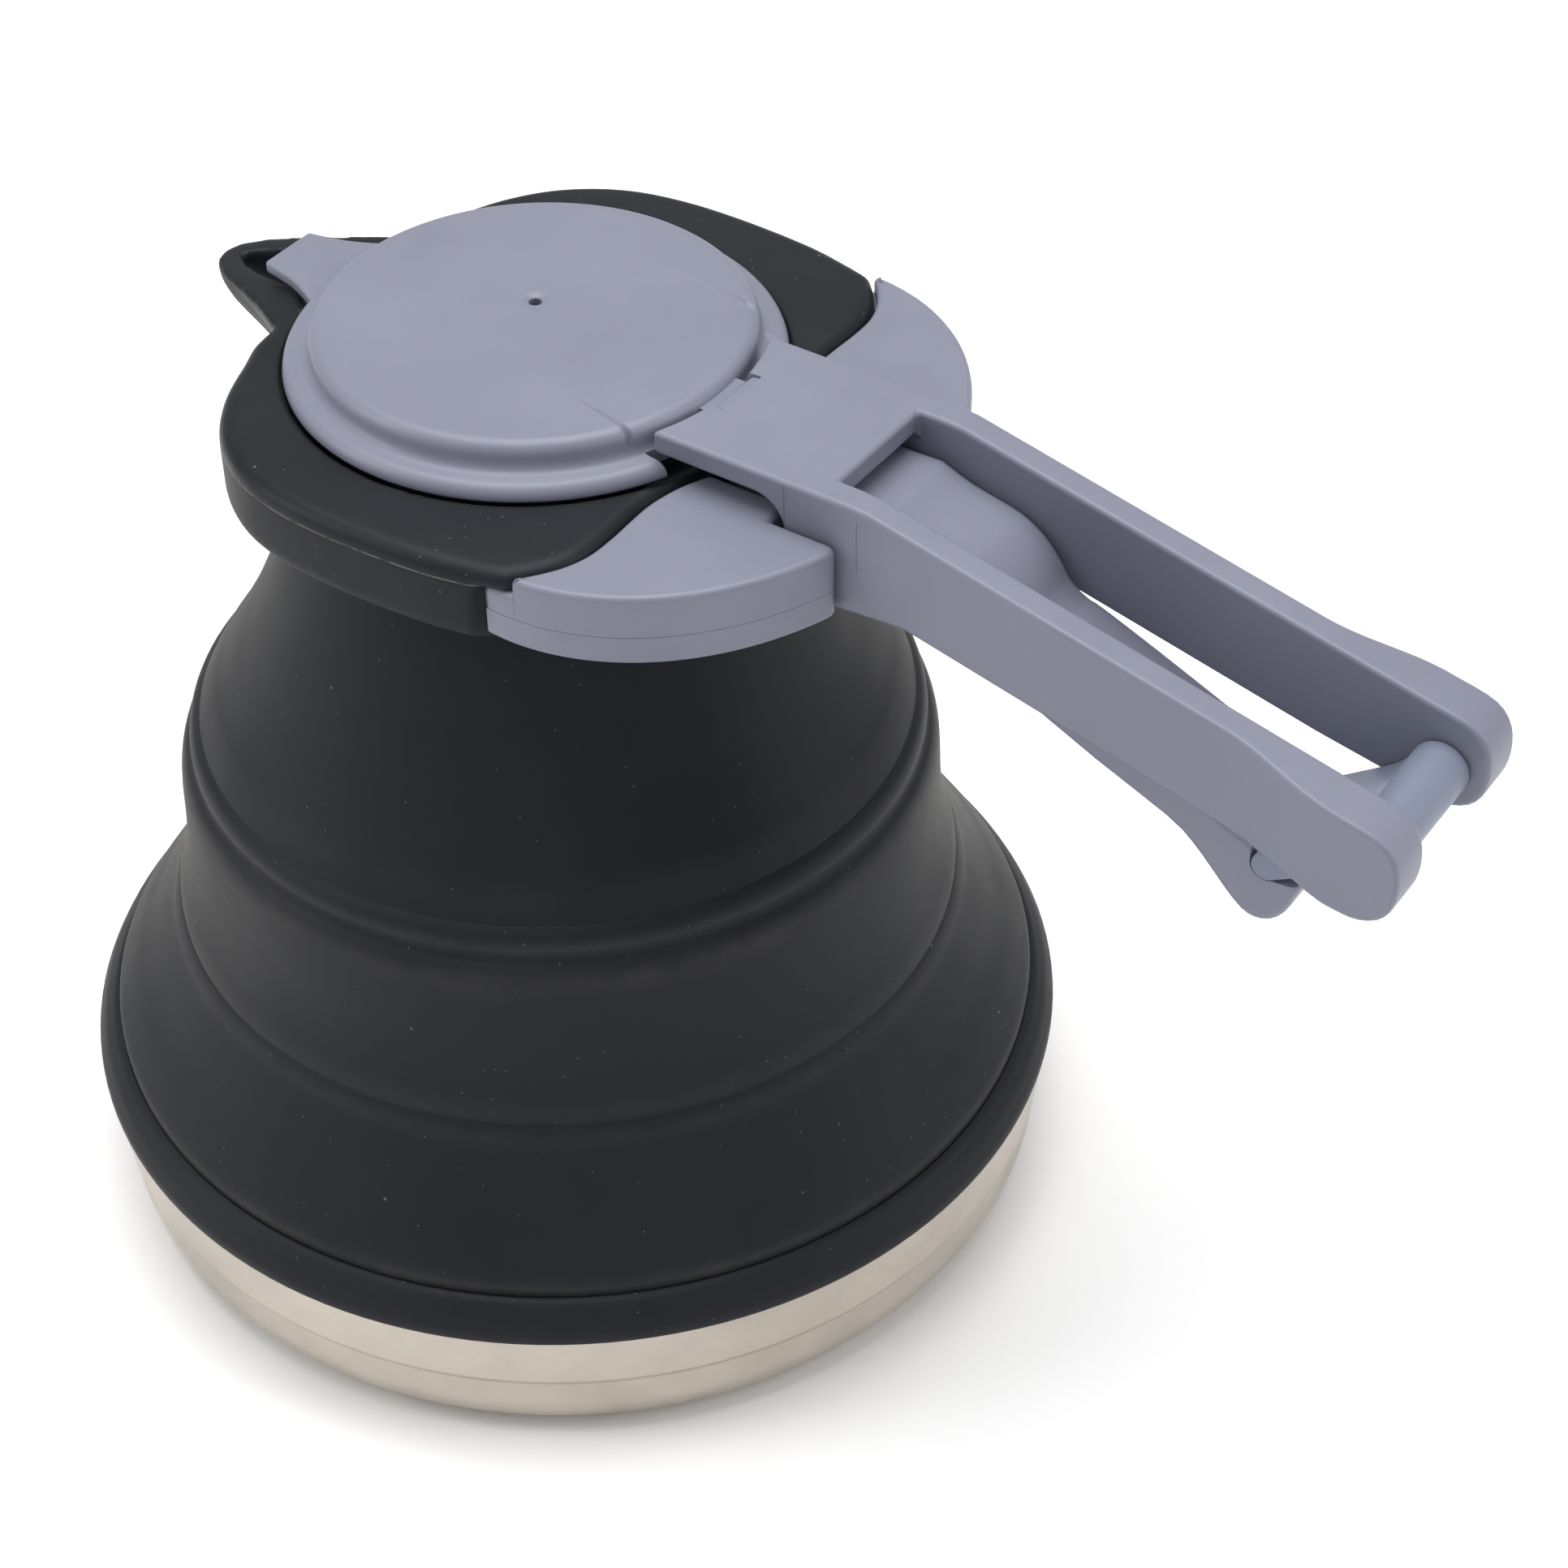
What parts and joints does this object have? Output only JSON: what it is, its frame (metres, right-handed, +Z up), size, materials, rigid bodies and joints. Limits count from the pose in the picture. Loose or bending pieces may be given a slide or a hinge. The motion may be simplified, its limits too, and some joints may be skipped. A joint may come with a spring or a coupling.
{
  "type": "collapsible kettle",
  "caption": "Collapsible silicone kettle with a steel pan base, a round hinged lid with a tongue over an open spout, and a two-armed handle whose lower half is hooked up by a sprung link.",
  "frame": {"origin": "centre of the flat underside of the steel pan, on the surface the kettle stands on", "axes": "+Z up through the body's round axis, +X towards the handle, -X towards the spout, +Y to the left wing seen from the spout end looking along +X"},
  "size_m": [0.2354, 0.165, 0.162],
  "materials": {
    "steel": "satin",
    "silicone": "matte",
    "plastic": "satin",
    "link_plastic": "satin",
    "bright_steel": "polished"
  },
  "bodies": {
    "base": {"base_pan": "steel", "lip_band": "silicone", "lower_cone": "silicone"},
    "middle": {"middle_band": "silicone", "upper_cone": "silicone"},
    "top": {"collar": "silicone", "mouth_ring": "plastic", "yoke_lower": "plastic", "wing_cover_left": "plastic", "wing_cover_right": "plastic", "wing_screw_left_front": "bright_steel", "wing_screw_right_front": "bright_steel", "wing_screw_left_rear": "bright_steel", "wing_screw_right_rear": "bright_steel", "handle_pivot_pin": "bright_steel"},
    "upper_handle": {"handle_frame": "plastic", "link_pin": "bright_steel", "lid_hinge_pin": "bright_steel"},
    "lower_handle_body": {"lower_handle": "plastic"},
    "link_body": {"link": "link_plastic", "link_spring": "bright_steel"},
    "lid": {"lid_cover": "plastic", "lid_liner": "plastic", "lid_seal": "silicone"}
  },
  "joints": [
    {"name": "collapse", "type": "slide", "parent": "base", "child": "middle", "axis": [0, 0, -1], "range_m": [0, 0.05], "deforming": ["lower_cone"]},
    {"name": "collar_drop", "type": "slide", "parent": "middle", "child": "top", "axis": [0, 0, -1], "range_m": [0, 0.028], "deforming": ["upper_cone"]},
    {"name": "handle_fold", "type": "hinge", "parent": "top", "child": "upper_handle", "pos_m": [0.0595, 0, 0.14835], "axis": [0, 1, 0], "range_deg": [0, 15]},
    {"name": "lid_hinge", "type": "hinge", "parent": "upper_handle", "child": "lid", "pos_m": [0.037, 0, 0.1601], "axis": [0, 1, 0], "range_deg": [0, 80]},
    {"name": "link_swing", "type": "hinge", "parent": "upper_handle", "child": "link_body", "pos_m": [0.1462, 0, 0.13585], "axis": [0, 1, 0], "range_deg": [0, 22], "stiffness_Nm_per_rad": 0.03, "springref_deg": -17.19},
    {"name": "lower_handle_swing", "type": "hinge", "parent": "upper_handle", "child": "lower_handle_body", "pos_m": [0.0595, 0, 0.14835], "axis": [0, 1, 0], "range_deg": [0, 13.2]}
  ],
  "couplings": [
    {"joint": "collar_drop", "follows": "collapse", "ratio": 0.56},
    {"joint": "lower_handle_swing", "follows": "link_swing", "ratio": 0.6}
  ]
}
